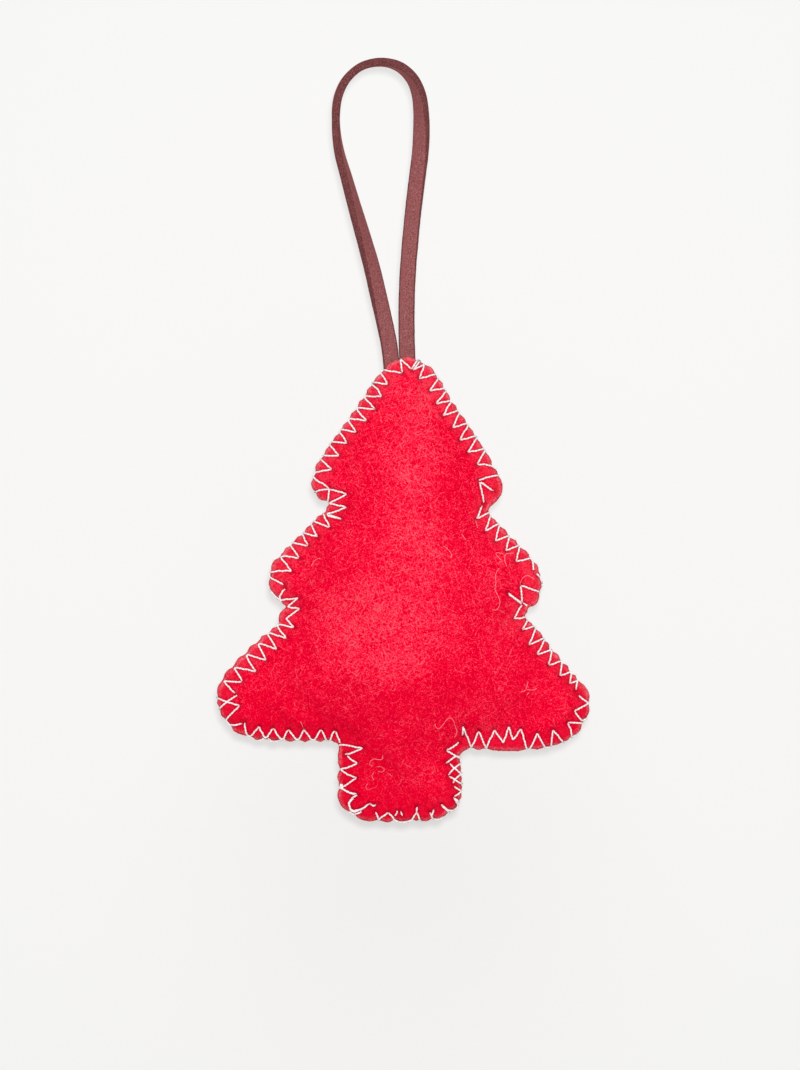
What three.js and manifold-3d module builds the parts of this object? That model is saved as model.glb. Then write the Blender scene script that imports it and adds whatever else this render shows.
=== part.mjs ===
// A christmas tree ornament: two felt panels sewn together round a fibre filling with a zigzag
// overedge stitch, hung from a loop of flat suede lace whose two ends are caught in the seam.
// Millimetres, +Z up, and the front faces -Y. The origin is the inner top of the loop, on its hook.
import * as THREE from "three";
import { mergeVertices } from "three/addons/utils/BufferGeometryUtils.js";
import Module from "manifold-3d";

// Tree: its outline before the corners are rounded, and the radius of each kind of corner.
const treeWidth = 69.7;
const treeHeight = 86.9;
const apexRadius = 6.4;
const upperTipRadius = 4.5;
const middleTipRadius = 4.9;
const lowerTipRadius = 7.9;
const trunkCornerRadius = 4.5;
const notchRadius = 0.75;

// Felt and filling: the flat rim that the stitches hold down, and the stuffed rise inside it.
const feltThickness = 1.5;
const seamGap = 0.1;
const rimMargin = 0.3;
const rimChamfer = 0.4;
const crownRise = 6.6;
const fillingClearance = 0.3;

// Lace: a flat strip, its seat in the seam, and the place where it bends as the tree swings.
const laceWidth = 3;
const laceThickness = 1.5;
const laceChamfer = 0.25;
const laceEndInset = 0.05;
const legGap = 0.3;
const loopFootX = 2.95;
const loopDrop = 51.96;
const laceOffset = -1.2;
const laceGap = 0.4;
const bendHeight = 2.6;
const tailDepth = 8;
const pocketClearance = 0.15;
const pocketOverrun = 3;

// Thread: the zigzag of the overedge stitch, front and back, and the second pass that closes it.
const threadDiameter = 0.34;
const threadGap = 0.1;
const stitchPitch = 2.75;
const stitchDepth = 3;
const stitchWrap = 0.5;
const knotGap = 0.12;
const overlapStitches = 4;

// What follows from those sizes.
const rimWidth = stitchDepth + rimMargin;
const legSpacing = laceWidth + legGap;

// Fineness of the faceted surfaces.
const arcStep = THREE.MathUtils.degToRad(25);
const straightStep = 3.9;
const inflateStep = 1.5;
const inflateRounds = 260;
const laceSteps = 80;
const axisStations = 14;
const threadSides = 3;
const roundSides = 16;
const mergeDistance = 1e-3;

// The outline clockwise from the apex: name, share of the width across from the tree's axis, share
// of the height above the foot, corner radius, and the share of the height at which the stuffed
// surface gathers on the axis.
const outlineShares = [
  ["apex", 0.007, 1.067, apexRadius, 0.78],
  ["upperTipRight", 0.274, 0.722, upperTipRadius, 0.7],
  ["upperNotchRight", 0.222, 0.668, notchRadius, 0.66],
  ["middleTipRight", 0.387, 0.525, middleTipRadius, 0.54],
  ["lowerNotchRight", 0.322, 0.445, notchRadius, 0.46],
  ["lowerTipRight", 0.624, 0.152, lowerTipRadius, 0.34],
  ["trunkRootRight", 0.149, 0.152, notchRadius, 0.24],
  ["trunkFootRight", 0.149, 0, trunkCornerRadius, 0.11],
  ["trunkFootLeft", -0.177, 0, trunkCornerRadius, 0.11],
  ["trunkRootLeft", -0.177, 0.17, notchRadius, 0.24],
  ["lowerTipLeft", -0.66, 0.17, lowerTipRadius, 0.34],
  ["lowerNotchLeft", -0.309, 0.452, notchRadius, 0.46],
  ["middleTipLeft", -0.387, 0.534, middleTipRadius, 0.54],
  ["upperNotchLeft", -0.208, 0.672, notchRadius, 0.66],
  ["upperTipLeft", -0.261, 0.735, upperTipRadius, 0.7],
];

// Rings between the rim and the axis, as shares of that way, on the outside and on the inside.
const outerRingShares = [0.1, 0.25, 0.5, 0.8];
const innerRingShares = [0.1, 0.5, 0.8];
const inflatePowerShare = 0.65; // 1 is a lens, and less is a fuller pillow
const slantShare = 0.62; // of a stitch, from its outer point on to its inner point
const closingShiftShare = 0.5; // of a stitch, between the first pass and the closing pass

// The free lace from its left foot, up round the hook and down to its right foot, as it lay.
const laceRoute = [
  [loopFootX - legSpacing / 2, -loopDrop],
  [0.95, -50.2],
  [0.375, -47.6],
  [-0.66, -43.1],
  [-1.69, -38.6],
  [-2.9, -34.1],
  [-4.2, -29.6],
  [-5.5, -25.1],
  [-6.75, -20.6],
  [-8.0, -16.1],
  [-8.6, -11.6],
  [-8.5, -7.1],
  [-7.8, -4.5],
  [-6.4, -2.1],
  [-3.7, 0.05],
  [0, 0.75],
  [3.1, -0.2],
  [5.4, -2.4],
  [6.6, -4.9],
  [7.2, -7.6],
  [7.4, -11.6],
  [7.2, -16.1],
  [6.65, -20.6],
  [6.1, -25.1],
  [5.6, -29.6],
  [5.2, -34.1],
  [4.85, -38.6],
  [4.65, -43.1],
  [4.6, -47.6],
  [4.6, -50.2],
  [loopFootX + legSpacing / 2, -loopDrop],
];

// How far the lace's face turns from the loop's inside towards the front: share of the lace, degrees.
const laceTurnShares = [
  [0, 90],
  [0.02, 88],
  [0.09, 65],
  [0.148, 48],
  [0.241, 30],
  [0.288, 22],
  [0.344, 10],
  [0.5, 5],
  [0.544, 17],
  [0.62, 35],
  [0.675, 55],
  [0.75, 88],
  [0.8, 90],
  [1, 90],
];

const red = new THREE.MeshStandardMaterial({ color: "#e3203f", roughness: 0.95, metalness: 0 });
const fibre = new THREE.MeshStandardMaterial({ color: "#f2efe8", roughness: 1, metalness: 0 });
const suede = new THREE.MeshStandardMaterial({ color: "#7a3f3f", roughness: 0.9, metalness: 0 });
const cotton = new THREE.MeshStandardMaterial({ color: "#f4efee", roughness: 0.7, metalness: 0 });

const wasm = await Module();
wasm.setup();

// The outline's corners, each with the directions in and out of it, its turn and its fillet.
function outlineCorners() {
  const corners = outlineShares.map(([name, across, up, radius, gather]) => ({
    name,
    radius,
    at: new THREE.Vector2(across * treeWidth, up * treeHeight),
    gather: gather * treeHeight,
  }));
  corners.forEach((corner, i) => {
    const next = corners[(i + 1) % corners.length];
    const into = corner.at.clone().sub(corners.at(i - 1).at).normalize();
    const out = next.at.clone().sub(corner.at).normalize();
    const turn = Math.atan2(into.y * out.x - into.x * out.y, into.dot(out));
    const tangent = corner.radius * Math.tan(Math.abs(turn) / 2);
    Object.assign(corner, { next, into, out, turn, tangent });
  });
  return corners;
}

// The points of a corner's fillet: a place, its outward normal and its place on the tree's axis.
function filletPoints({ at, into, turn, tangent, radius, gather }) {
  const normal = new THREE.Vector2(-into.y, into.x);
  const reach = radius * Math.sign(turn);
  const centre = at.clone().addScaledVector(into, -tangent).addScaledVector(normal, -reach);
  const count = Math.max(2, Math.round(Math.abs(turn) / arcStep));
  return Array.from({ length: count + 1 }, (_, k) => {
    const facing = normal.clone().rotateAround(new THREE.Vector2(), (-turn * k) / count);
    return { at: centre.clone().addScaledVector(facing, reach), normal: facing, gather };
  });
}

// The points between the end of a corner's fillet and the start of the next one.
function straightPoints({ next, out, gather }, end) {
  const run = next.at.distanceTo(end.at) - next.tangent;
  const pieces = Math.max(1, Math.round(run / straightStep));
  return Array.from({ length: pieces - 1 }, (_, k) => ({
    at: end.at.clone().addScaledVector(out, (run * (k + 1)) / pieces),
    normal: end.normal,
    gather: THREE.MathUtils.lerp(gather, next.gather, (k + 1) / pieces),
  }));
}

// The whole outline, clockwise, with each point's distance along it and each corner's middle point.
function roundedOutline() {
  const points = [];
  const middles = {};
  for (const corner of outlineCorners()) {
    const fillet = filletPoints(corner);
    middles[corner.name] = fillet[Math.round((fillet.length - 1) / 2)];
    points.push(...fillet, ...straightPoints(corner, fillet.at(-1)));
  }
  let length = 0;
  points.forEach((point, i) => {
    point.along = length;
    length += point.at.distanceTo(points[(i + 1) % points.length].at);
  });
  return { points, length, middles };
}

const outline = roundedOutline();
const treeTop = Math.max(...outline.points.map((point) => point.at.y));
const axisTop = Math.max(...outline.points.map((point) => point.gather));
const axisFoot = Math.min(...outline.points.map((point) => point.gather));

// The point and outward normal at a distance along the outline.
function outlineAt(distance) {
  const along = THREE.MathUtils.euclideanModulo(distance, outline.length);
  const i = outline.points.findLastIndex((point) => point.along <= along);
  const here = outline.points[i];
  const next = outline.points[(i + 1) % outline.points.length];
  const share = (along - here.along) / here.at.distanceTo(next.at);
  return {
    at: here.at.clone().lerp(next.at, share),
    normal: here.normal.clone().lerp(next.normal, share).normalize(),
  };
}

// Distance from a point to the outline, negative outside it.
function depthInside(x, z) {
  const closest = new THREE.Vector3();
  const probe = new THREE.Vector3(x, z, 0);
  const edge = new THREE.Line3();
  let nearest = Infinity;
  let inside = false;
  outline.points.forEach((point, i) => {
    const next = outline.points[(i + 1) % outline.points.length];
    edge.start.set(point.at.x, point.at.y, 0);
    edge.end.set(next.at.x, next.at.y, 0);
    edge.closestPointToPoint(probe, true, closest);
    nearest = Math.min(nearest, closest.distanceTo(probe));
    const spans = point.at.y > z !== next.at.y > z;
    const slope = (next.at.x - point.at.x) / (next.at.y - point.at.y);
    if (spans && x < point.at.x + (z - point.at.y) * slope) inside = !inside;
  });
  return inside ? nearest : -nearest;
}

// The stuffed rise over the outline, from 0 at the rim to 1 at the crown: a skin held along the rim
// and pressed out evenly, relaxed on a grid.
function inflate() {
  const columns = Math.ceil(treeWidth / inflateStep) + 1;
  const rows = Math.ceil(treeTop / inflateStep) + 1;
  const left = (-columns * inflateStep) / 2;
  const rise = new Float64Array(columns * rows);
  const hold = new Float64Array(columns * rows);
  for (let row = 0; row < rows; row++)
    for (let column = 0; column < columns; column++) {
      const depth = depthInside(left + column * inflateStep, row * inflateStep);
      const free = THREE.MathUtils.smoothstep(depth, rimWidth - inflateStep, rimWidth + inflateStep);
      hold[row * columns + column] = free > 0 ? 4 / free - 4 : Infinity;
    }
  for (let round = 0; round < inflateRounds; round++)
    for (let row = 1; row < rows - 1; row++)
      for (let column = 1; column < columns - 1; column++) {
        const i = row * columns + column;
        const around = rise[i - 1] + rise[i + 1] + rise[i - columns] + rise[i + columns];
        rise[i] = (around + 1) / (4 + hold[i]);
      }
  const most = Math.max(...rise);
  return (x, z) => {
    const across = (x - left) / inflateStep;
    const up = z / inflateStep;
    const i = Math.floor(up) * columns + Math.floor(across);
    const low = THREE.MathUtils.lerp(rise[i], rise[i + 1], across % 1);
    const high = THREE.MathUtils.lerp(rise[i + columns], rise[i + columns + 1], across % 1);
    return Math.pow(THREE.MathUtils.lerp(low, high, up % 1) / most, inflatePowerShare);
  };
}

const riseAt = inflate();

// A ring of the outline drawn in by a distance, at one depth from the seam.
function rimRing(inset, depth) {
  return outline.points.map(
    (point) =>
      new THREE.Vector3(
        point.at.x - point.normal.x * inset,
        -depth,
        point.at.y - point.normal.y * inset,
      ),
  );
}

// A ring part of the way from the rim to the tree's axis, on the stuffed surface.
function stuffedRing(share, base) {
  return outline.points.map((point) => {
    const rim = point.at.clone().addScaledVector(point.normal, -rimWidth);
    const place = rim.lerp(new THREE.Vector2(0, point.gather), share);
    return new THREE.Vector3(place.x, -base - crownRise * riseAt(place.x, place.y), place.y);
  });
}

// A closed body through rings of equal count. The first and the last ring each close on the tree's
// axis, along a row of stations that the points of both sides share.
function loft(rings, firstAxis, lastAxis) {
  const count = rings[0].length;
  const points = rings.flat();
  const faces = [];
  for (let r = 0; r < rings.length - 1; r++)
    for (let i = 0; i < count; i++) {
      const a = r * count + i;
      const b = r * count + ((i + 1) % count);
      const [c, d] = [a + count, b + count];
      if (points[b].distanceTo(points[c]) < points[a].distanceTo(points[d]))
        faces.push(a, b, c, b, d, c);
      else faces.push(a, b, d, a, d, c);
    }
  closeOnAxis(points, 0, firstAxis).forEach((face) => faces.push(...face.reverse()));
  const lastRing = (rings.length - 1) * count;
  closeOnAxis(points, lastRing, lastAxis).forEach((face) => faces.push(...face));
  const geometry = new THREE.BufferGeometry().setFromPoints(points);
  geometry.setIndex(faces);
  return facingOut(geometry);
}

// The stuffed surface's own points along the axis, from the top station to the foot.
function axisPoints(base) {
  return Array.from({ length: axisStations + 1 }, (_, k) => {
    const z = THREE.MathUtils.lerp(axisTop, axisFoot, k / axisStations);
    return new THREE.Vector3(0, -base - crownRise * riseAt(0, z), z);
  });
}

// The faces between a ring and the axis, whose points join the list.
function closeOnAxis(points, ring, axis) {
  const first = points.length;
  points.push(...axis);
  const station = (point) =>
    first + Math.round(((axisTop - point.gather) / (axisTop - axisFoot)) * axisStations);
  const cap = [];
  outline.points.forEach((point, i) => {
    const next = (i + 1) % outline.points.length;
    const to = station(outline.points[next]);
    let at = station(point);
    cap.push([ring + i, ring + next, at]);
    for (; at !== to; at += Math.sign(to - at)) cap.push([ring + next, at + Math.sign(to - at), at]);
  });
  return cap;
}

// Turns every face round where the body's faces point inwards.
function facingOut(geometry) {
  const place = geometry.getAttribute("position");
  const index = geometry.index.array;
  const corners = [new THREE.Vector3(), new THREE.Vector3(), new THREE.Vector3()];
  let volume = 0;
  for (let i = 0; i < index.length; i += 3) {
    corners.forEach((corner, k) => corner.fromBufferAttribute(place, index[i + k]));
    volume += corners[0].dot(corners[1].clone().cross(corners[2]));
  }
  if (volume < 0)
    for (let i = 0; i < index.length; i += 3) [index[i], index[i + 1]] = [index[i + 1], index[i]];
  geometry.computeVertexNormals();
  return geometry;
}

// One felt panel: flat rim with a chamfered edge, then the stuffed rise, one felt thickness through.
function feltPanel() {
  const inside = seamGap / 2;
  const outside = inside + feltThickness;
  const rings = [
    ...innerRingShares.toReversed().map((share) => stuffedRing(share, inside)),
    rimRing(rimWidth, inside),
    rimRing(0, inside),
    rimRing(0, outside - rimChamfer),
    rimRing(rimChamfer, outside),
    rimRing(rimWidth, outside),
    ...outerRingShares.map((share) => stuffedRing(share, outside)),
  ];
  return loft(rings, axisPoints(inside), axisPoints(outside));
}

// The filling takes the space between the panels, clear of both.
function filling() {
  const surface = seamGap / 2 - fillingClearance;
  const front = innerRingShares.map((share) => stuffedRing(share, surface));
  const back = front.map((ring) => ring.map((point) => point.clone().setY(-point.y)));
  const axisFront = axisPoints(surface);
  const axisBack = axisFront.map((point) => point.clone().setY(-point.y));
  return loft([...front.toReversed(), ...back], axisFront, axisBack);
}

function mirrored(geometry) {
  return facingOut(geometry.clone().applyMatrix4(new THREE.Matrix4().makeScale(1, -1, 1)));
}

// A closed mesh as a solid for joining and cutting, and back.
function solid(geometry) {
  const plain = geometry.clone();
  plain.deleteAttribute("normal");
  plain.deleteAttribute("uv");
  const merged = mergeVertices(plain, mergeDistance);
  return new wasm.Manifold(
    new wasm.Mesh({
      numProp: 3,
      vertProperties: merged.getAttribute("position").array,
      triVerts: new Uint32Array(merged.index.array),
    }),
  );
}

function surfaceOf(body) {
  const mesh = body.getMesh();
  const geometry = new THREE.BufferGeometry();
  geometry.setAttribute("position", new THREE.BufferAttribute(mesh.vertProperties, 3));
  geometry.setIndex(new THREE.BufferAttribute(mesh.triVerts, 1));
  geometry.computeVertexNormals();
  return geometry;
}

// The lace's section: eight sides, its width along x and its thickness along y.
function laceSection() {
  const wide = laceWidth / 2;
  const thick = laceThickness / 2;
  const section = new THREE.Shape();
  section.moveTo(wide - laceChamfer, -thick);
  section.lineTo(wide, -thick + laceChamfer);
  section.lineTo(wide, thick - laceChamfer);
  section.lineTo(wide - laceChamfer, thick);
  section.lineTo(-wide + laceChamfer, thick);
  section.lineTo(-wide, thick - laceChamfer);
  section.lineTo(-wide, -thick + laceChamfer);
  section.lineTo(-wide + laceChamfer, -thick);
  section.closePath();
  return section;
}

// The rounded cut end of the lace, with its axis along X.
function laceEnd(x, z) {
  const radius = laceThickness / 2 - laceEndInset;
  const end = new THREE.CylinderGeometry(radius, radius, laceWidth - 2 * laceChamfer, roundSides);
  end.rotateZ(Math.PI / 2);
  end.translate(x, 0, z);
  return solid(end);
}

function laceTurn(share) {
  const i = Math.max(1, laceTurnShares.findIndex(([place]) => place >= share));
  const [from, turnFrom] = laceTurnShares[i - 1];
  const [to, turnTo] = laceTurnShares[i];
  const turn = THREE.MathUtils.lerp(turnFrom, turnTo, (share - from) / (to - from));
  return THREE.MathUtils.degToRad(turn);
}

// The free lace: its width lies across the route at the hook and turns to face front at the seat.
function laceLoop() {
  const points = laceRoute.map(([x, z]) => new THREE.Vector3(x, 0, z));
  const route = new THREE.CatmullRomCurve3(points, false, "centripetal");
  route.computeFrenetFrames = (steps) => {
    const frames = { tangents: [], normals: [], binormals: [] };
    for (let i = 0; i <= steps; i++) {
      const tangent = route.getTangentAt(i / steps);
      if (i === 0) tangent.set(0, 0, 1);
      if (i === steps) tangent.set(0, 0, -1);
      const turn = laceTurn(i / steps);
      const inward = new THREE.Vector3(tangent.z, 0, -tangent.x);
      const facing = inward.multiplyScalar(Math.cos(turn));
      facing.y -= Math.sin(turn);
      frames.tangents.push(tangent);
      frames.normals.push(facing.clone().cross(tangent).normalize());
      frames.binormals.push(facing);
    }
    return frames;
  };
  const strip = new THREE.ExtrudeGeometry(laceSection(), { steps: laceSteps, extrudePath: route });
  const [left, right] = [laceRoute[0], laceRoute.at(-1)];
  return surfaceOf(solid(strip).add(laceEnd(...left)).add(laceEnd(...right)));
}

// The lace bends at the loop's feet; below them each tail runs down into the seam.
const feltTopZ = -loopDrop - bendHeight;
const tailTopZ = -loopDrop - laceThickness - laceGap;
const tailFootZ = feltTopZ - tailDepth;
const treePlace = new THREE.Vector3(loopFootX - laceOffset, 0, feltTopZ - treeTop);

function laceTail(x) {
  const strip = new THREE.ExtrudeGeometry(laceSection(), {
    depth: tailTopZ - tailFootZ,
    bevelEnabled: false,
  });
  strip.translate(x, 0, tailFootZ);
  return surfaceOf(solid(strip).add(laceEnd(x, tailTopZ)));
}

// The space that the two tails need between the panels.
function tailPocket() {
  const low = tailFootZ - pocketClearance;
  const high = feltTopZ + pocketOverrun;
  const pocket = new THREE.BoxGeometry(
    legSpacing + laceWidth + 2 * pocketClearance,
    laceThickness + 2 * pocketClearance,
    high - low,
  );
  pocket.translate(laceOffset, 0, (low + high) / 2 - treePlace.z);
  return solid(pocket);
}

const pocket = tailPocket();
const cutForTails = (geometry) => surfaceOf(solid(geometry).subtract(pocket));

// One pass of thread on the front face, between two distances along the outline. The outer points
// lie a pitch apart from the one between the two lace tails, and a later pass lies on an earlier one.
function threadPass(from, to, shift, layer) {
  const apart = threadDiameter + threadGap;
  const face = seamGap / 2 + feltThickness + threadGap + threadDiameter / 2 + layer * apart;
  const clear = threadGap + threadDiameter / 2 + layer * apart;
  const knot = knotGap / 2 + threadDiameter / 2;
  const anchor = distanceAtTop(laceOffset) + shift * stitchPitch;
  const laceReach = (legSpacing + laceWidth) / 2 + threadDiameter;
  const nodes = [];
  const first = Math.ceil((from - anchor) / stitchPitch);
  const last = Math.floor((to - anchor) / stitchPitch);
  const add = (distance, inset, depth, sideways, faceways) => {
    const { at, normal } = outlineAt(distance);
    nodes.push({
      at: new THREE.Vector3(at.x - normal.x * inset, -depth, at.y - normal.y * inset),
      up: new THREE.Vector3(normal.x * sideways, -faceways, normal.y * sideways),
    });
  };
  for (let k = first; k <= last; k++) {
    const outer = anchor + k * stitchPitch;
    const { at, normal } = outlineAt(outer);
    const atLace = Math.abs(at.x - laceOffset) < laceReach && normal.y > 0;
    const wrapDepth = atLace ? laceThickness / 2 + threadGap + threadDiameter / 2 : knot;
    if (k > first) add(outer - stitchWrap / 2, -clear, face, 1, 1);
    add(outer, -clear, wrapDepth, 1, 0);
    add(outer + stitchWrap / 2, -clear, face, 1, 1);
    if (k < last) add(outer + slantShare * stitchPitch, stitchDepth, face, 0, 1);
  }
  return threadTube(nodes);
}

// The distance along the outline to the point above a place on the tree's top.
function distanceAtTop(x) {
  const top = outline.points.filter((point) => point.normal.y > 0);
  const i = top.findIndex((point) => point.at.x > x);
  const before = i > 0 ? top[i - 1] : top.at(-1);
  const after = top[i];
  const step = THREE.MathUtils.euclideanModulo(after.along - before.along, outline.length);
  return before.along + (step * (x - before.at.x)) / (after.at.x - before.at.x);
}

// A thin closed tube through nodes that give the side its first edge faces.
function threadTube(nodes) {
  const points = [];
  nodes.forEach(({ at, up }, i) => {
    const before = nodes[Math.max(i - 1, 0)].at;
    const after = nodes[Math.min(i + 1, nodes.length - 1)].at;
    const tangent = after.clone().sub(before).normalize();
    const first = up.clone().projectOnPlane(tangent).normalize();
    for (let k = 0; k < threadSides; k++) {
      const turn = (2 * Math.PI * k) / threadSides;
      points.push(first.clone().applyAxisAngle(tangent, turn).setLength(threadDiameter / 2).add(at));
    }
  });
  const faces = [];
  for (let i = 0; i < nodes.length - 1; i++)
    for (let k = 0; k < threadSides; k++) {
      const a = i * threadSides + k;
      const b = i * threadSides + ((k + 1) % threadSides);
      faces.push(a, b, a + threadSides, b, b + threadSides, a + threadSides);
    }
  const last = (nodes.length - 1) * threadSides;
  for (let k = 1; k < threadSides - 1; k++) {
    faces.push(0, k + 1, k);
    faces.push(last, last + k, last + k + 1);
  }
  const geometry = new THREE.BufferGeometry().setFromPoints(points);
  geometry.setIndex(faces);
  return facingOut(geometry);
}

// The first pass leaves the foot of the trunk open for the filling; the second closes it and
// overlaps the first at both ends.
const overlap = overlapStitches * stitchPitch;
const footRight = outline.middles.trunkFootRight.along;
const footLeft = outline.middles.trunkFootLeft.along;
const firstPass = threadPass(footLeft - outline.length, footRight, 0, 0);
const closingPass = threadPass(footRight - overlap, footLeft + overlap, closingShiftShare, 1);

function named(name, geometry, material, group) {
  const mesh = new THREE.Mesh(geometry, material.clone());
  mesh.name = name;
  group.add(mesh);
}

const ornament = new THREE.Group();
named("hanging_lace_loop", laceLoop(), suede, ornament);
named("lace_tail_left", laceTail(laceRoute[0][0]), suede, ornament);
named("lace_tail_right", laceTail(laceRoute.at(-1)[0]), suede, ornament);

const tree = new THREE.Group();
tree.position.copy(treePlace);
ornament.add(tree);
named("front_felt_panel", cutForTails(feltPanel()), red, tree);
named("back_felt_panel", cutForTails(mirrored(feltPanel())), red, tree);
named("fibre_filling", cutForTails(filling()), fibre, tree);
named("needle_thread", firstPass, cotton, tree);
named("bobbin_thread", mirrored(firstPass), cotton, tree);
named("closing_needle_thread", closingPass, cotton, tree);
named("closing_bobbin_thread", mirrored(closingPass), cotton, tree);

export default ornament;
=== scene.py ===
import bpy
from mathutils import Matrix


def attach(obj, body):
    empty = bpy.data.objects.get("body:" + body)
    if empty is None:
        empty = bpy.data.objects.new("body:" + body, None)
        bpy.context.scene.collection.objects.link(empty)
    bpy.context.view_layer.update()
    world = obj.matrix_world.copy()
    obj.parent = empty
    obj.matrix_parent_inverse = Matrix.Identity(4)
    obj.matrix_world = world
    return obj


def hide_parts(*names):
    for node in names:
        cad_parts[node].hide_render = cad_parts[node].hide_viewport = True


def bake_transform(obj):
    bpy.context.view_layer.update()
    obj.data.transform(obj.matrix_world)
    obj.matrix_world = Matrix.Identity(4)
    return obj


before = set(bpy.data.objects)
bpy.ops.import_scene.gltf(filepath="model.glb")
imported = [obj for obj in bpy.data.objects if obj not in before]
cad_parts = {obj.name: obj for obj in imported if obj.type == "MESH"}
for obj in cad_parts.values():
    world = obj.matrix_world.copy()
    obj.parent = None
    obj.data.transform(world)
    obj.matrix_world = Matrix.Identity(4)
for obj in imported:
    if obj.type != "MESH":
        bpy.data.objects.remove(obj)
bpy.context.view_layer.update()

import math

import bmesh
import bpy
import numpy as np
from mathutils import Vector, geometry, noise
from mathutils.bvhtree import BVHTree

mm = 0.001
scene = bpy.context.scene

# The photo's frame: how large its pixels are on the ornament, and which one the hook is at.
photo = {"pixel": 0.1875, "hookX": 382, "hookY": 66, "width": 800, "height": 1070}


def fromPhoto(points):  # photo pixels to millimetres across and up from the hook
    points = np.array(points, float)
    across = (points[:, 0] - photo["hookX"]) * photo["pixel"]
    up = (photo["hookY"] - points[:, 1]) * photo["pixel"]
    return np.stack([across, up], axis=1)


def inScene(name, data):
    made = bpy.data.objects.new(name, data)
    scene.collection.objects.link(made)
    return made


def meshObject(name, points, faces, smooth=True):  # points in millimetres
    mesh = bpy.data.meshes.new(name)
    mesh.from_pydata((np.asarray(points, float) * mm).tolist(), [], [list(f) for f in faces])
    mesh.polygons.foreach_set("use_smooth", [smooth] * len(mesh.polygons))
    mesh.update()
    return inScene(name, mesh)


def edgeObject(name, lines):  # open lines in millimetres, each a row of points
    points, edges = [], []
    for line in lines:
        edges += [(len(points) + i, len(points) + i + 1) for i in range(len(line) - 1)]
        points += (np.asarray(line, float) * mm).tolist()
    mesh = bpy.data.meshes.new(name)
    mesh.from_pydata(points, edges, [])
    return inScene(name, mesh)


def addShade(thing, name, values):  # a value at each point, for the material to read
    thing.data.attributes.new(name, "FLOAT", "POINT").data.foreach_set("value", values)


def facesOut(thing):
    shape = bmesh.new()
    shape.from_mesh(thing.data)
    bmesh.ops.recalc_face_normals(shape, faces=shape.faces)
    shape.to_mesh(thing.data)
    shape.free()


# Camera: straight at the front, as the photo was taken from above.
camera = {"lens": 85, "sensor": 36, "sees": (0.01, 10)}


def placeCamera():
    data = bpy.data.cameras.new("Camera")
    data.lens = camera["lens"]
    data.sensor_width = camera["sensor"]
    data.clip_start, data.clip_end = camera["sees"]
    across, up = fromPhoto([(photo["width"] / 2, photo["height"] / 2)])[0]
    away = photo["height"] * photo["pixel"] * camera["lens"] / camera["sensor"]
    scene.camera = inScene("Camera", data)
    scene.camera.location = (across * mm, -away * mm, up * mm)
    scene.camera.rotation_euler = (math.pi / 2, 0, 0)
    print("camera", round(away), "mm away")


placeCamera()


# Nodes: one tree's maker, and a wire whose arithmetic adds Math nodes.
class Wire:
    def __init__(self, maker, socket):
        self.maker = maker
        self.socket = socket

    def __add__(self, other):
        return self.maker.math("ADD", self, other)

    def __sub__(self, other):
        return self.maker.math("SUBTRACT", self, other)

    def __mul__(self, other):
        return self.maker.math("MULTIPLY", self, other)

    def __rsub__(self, other):
        return self.maker.math("SUBTRACT", other, self)

    __radd__ = __add__
    __rmul__ = __mul__


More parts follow.
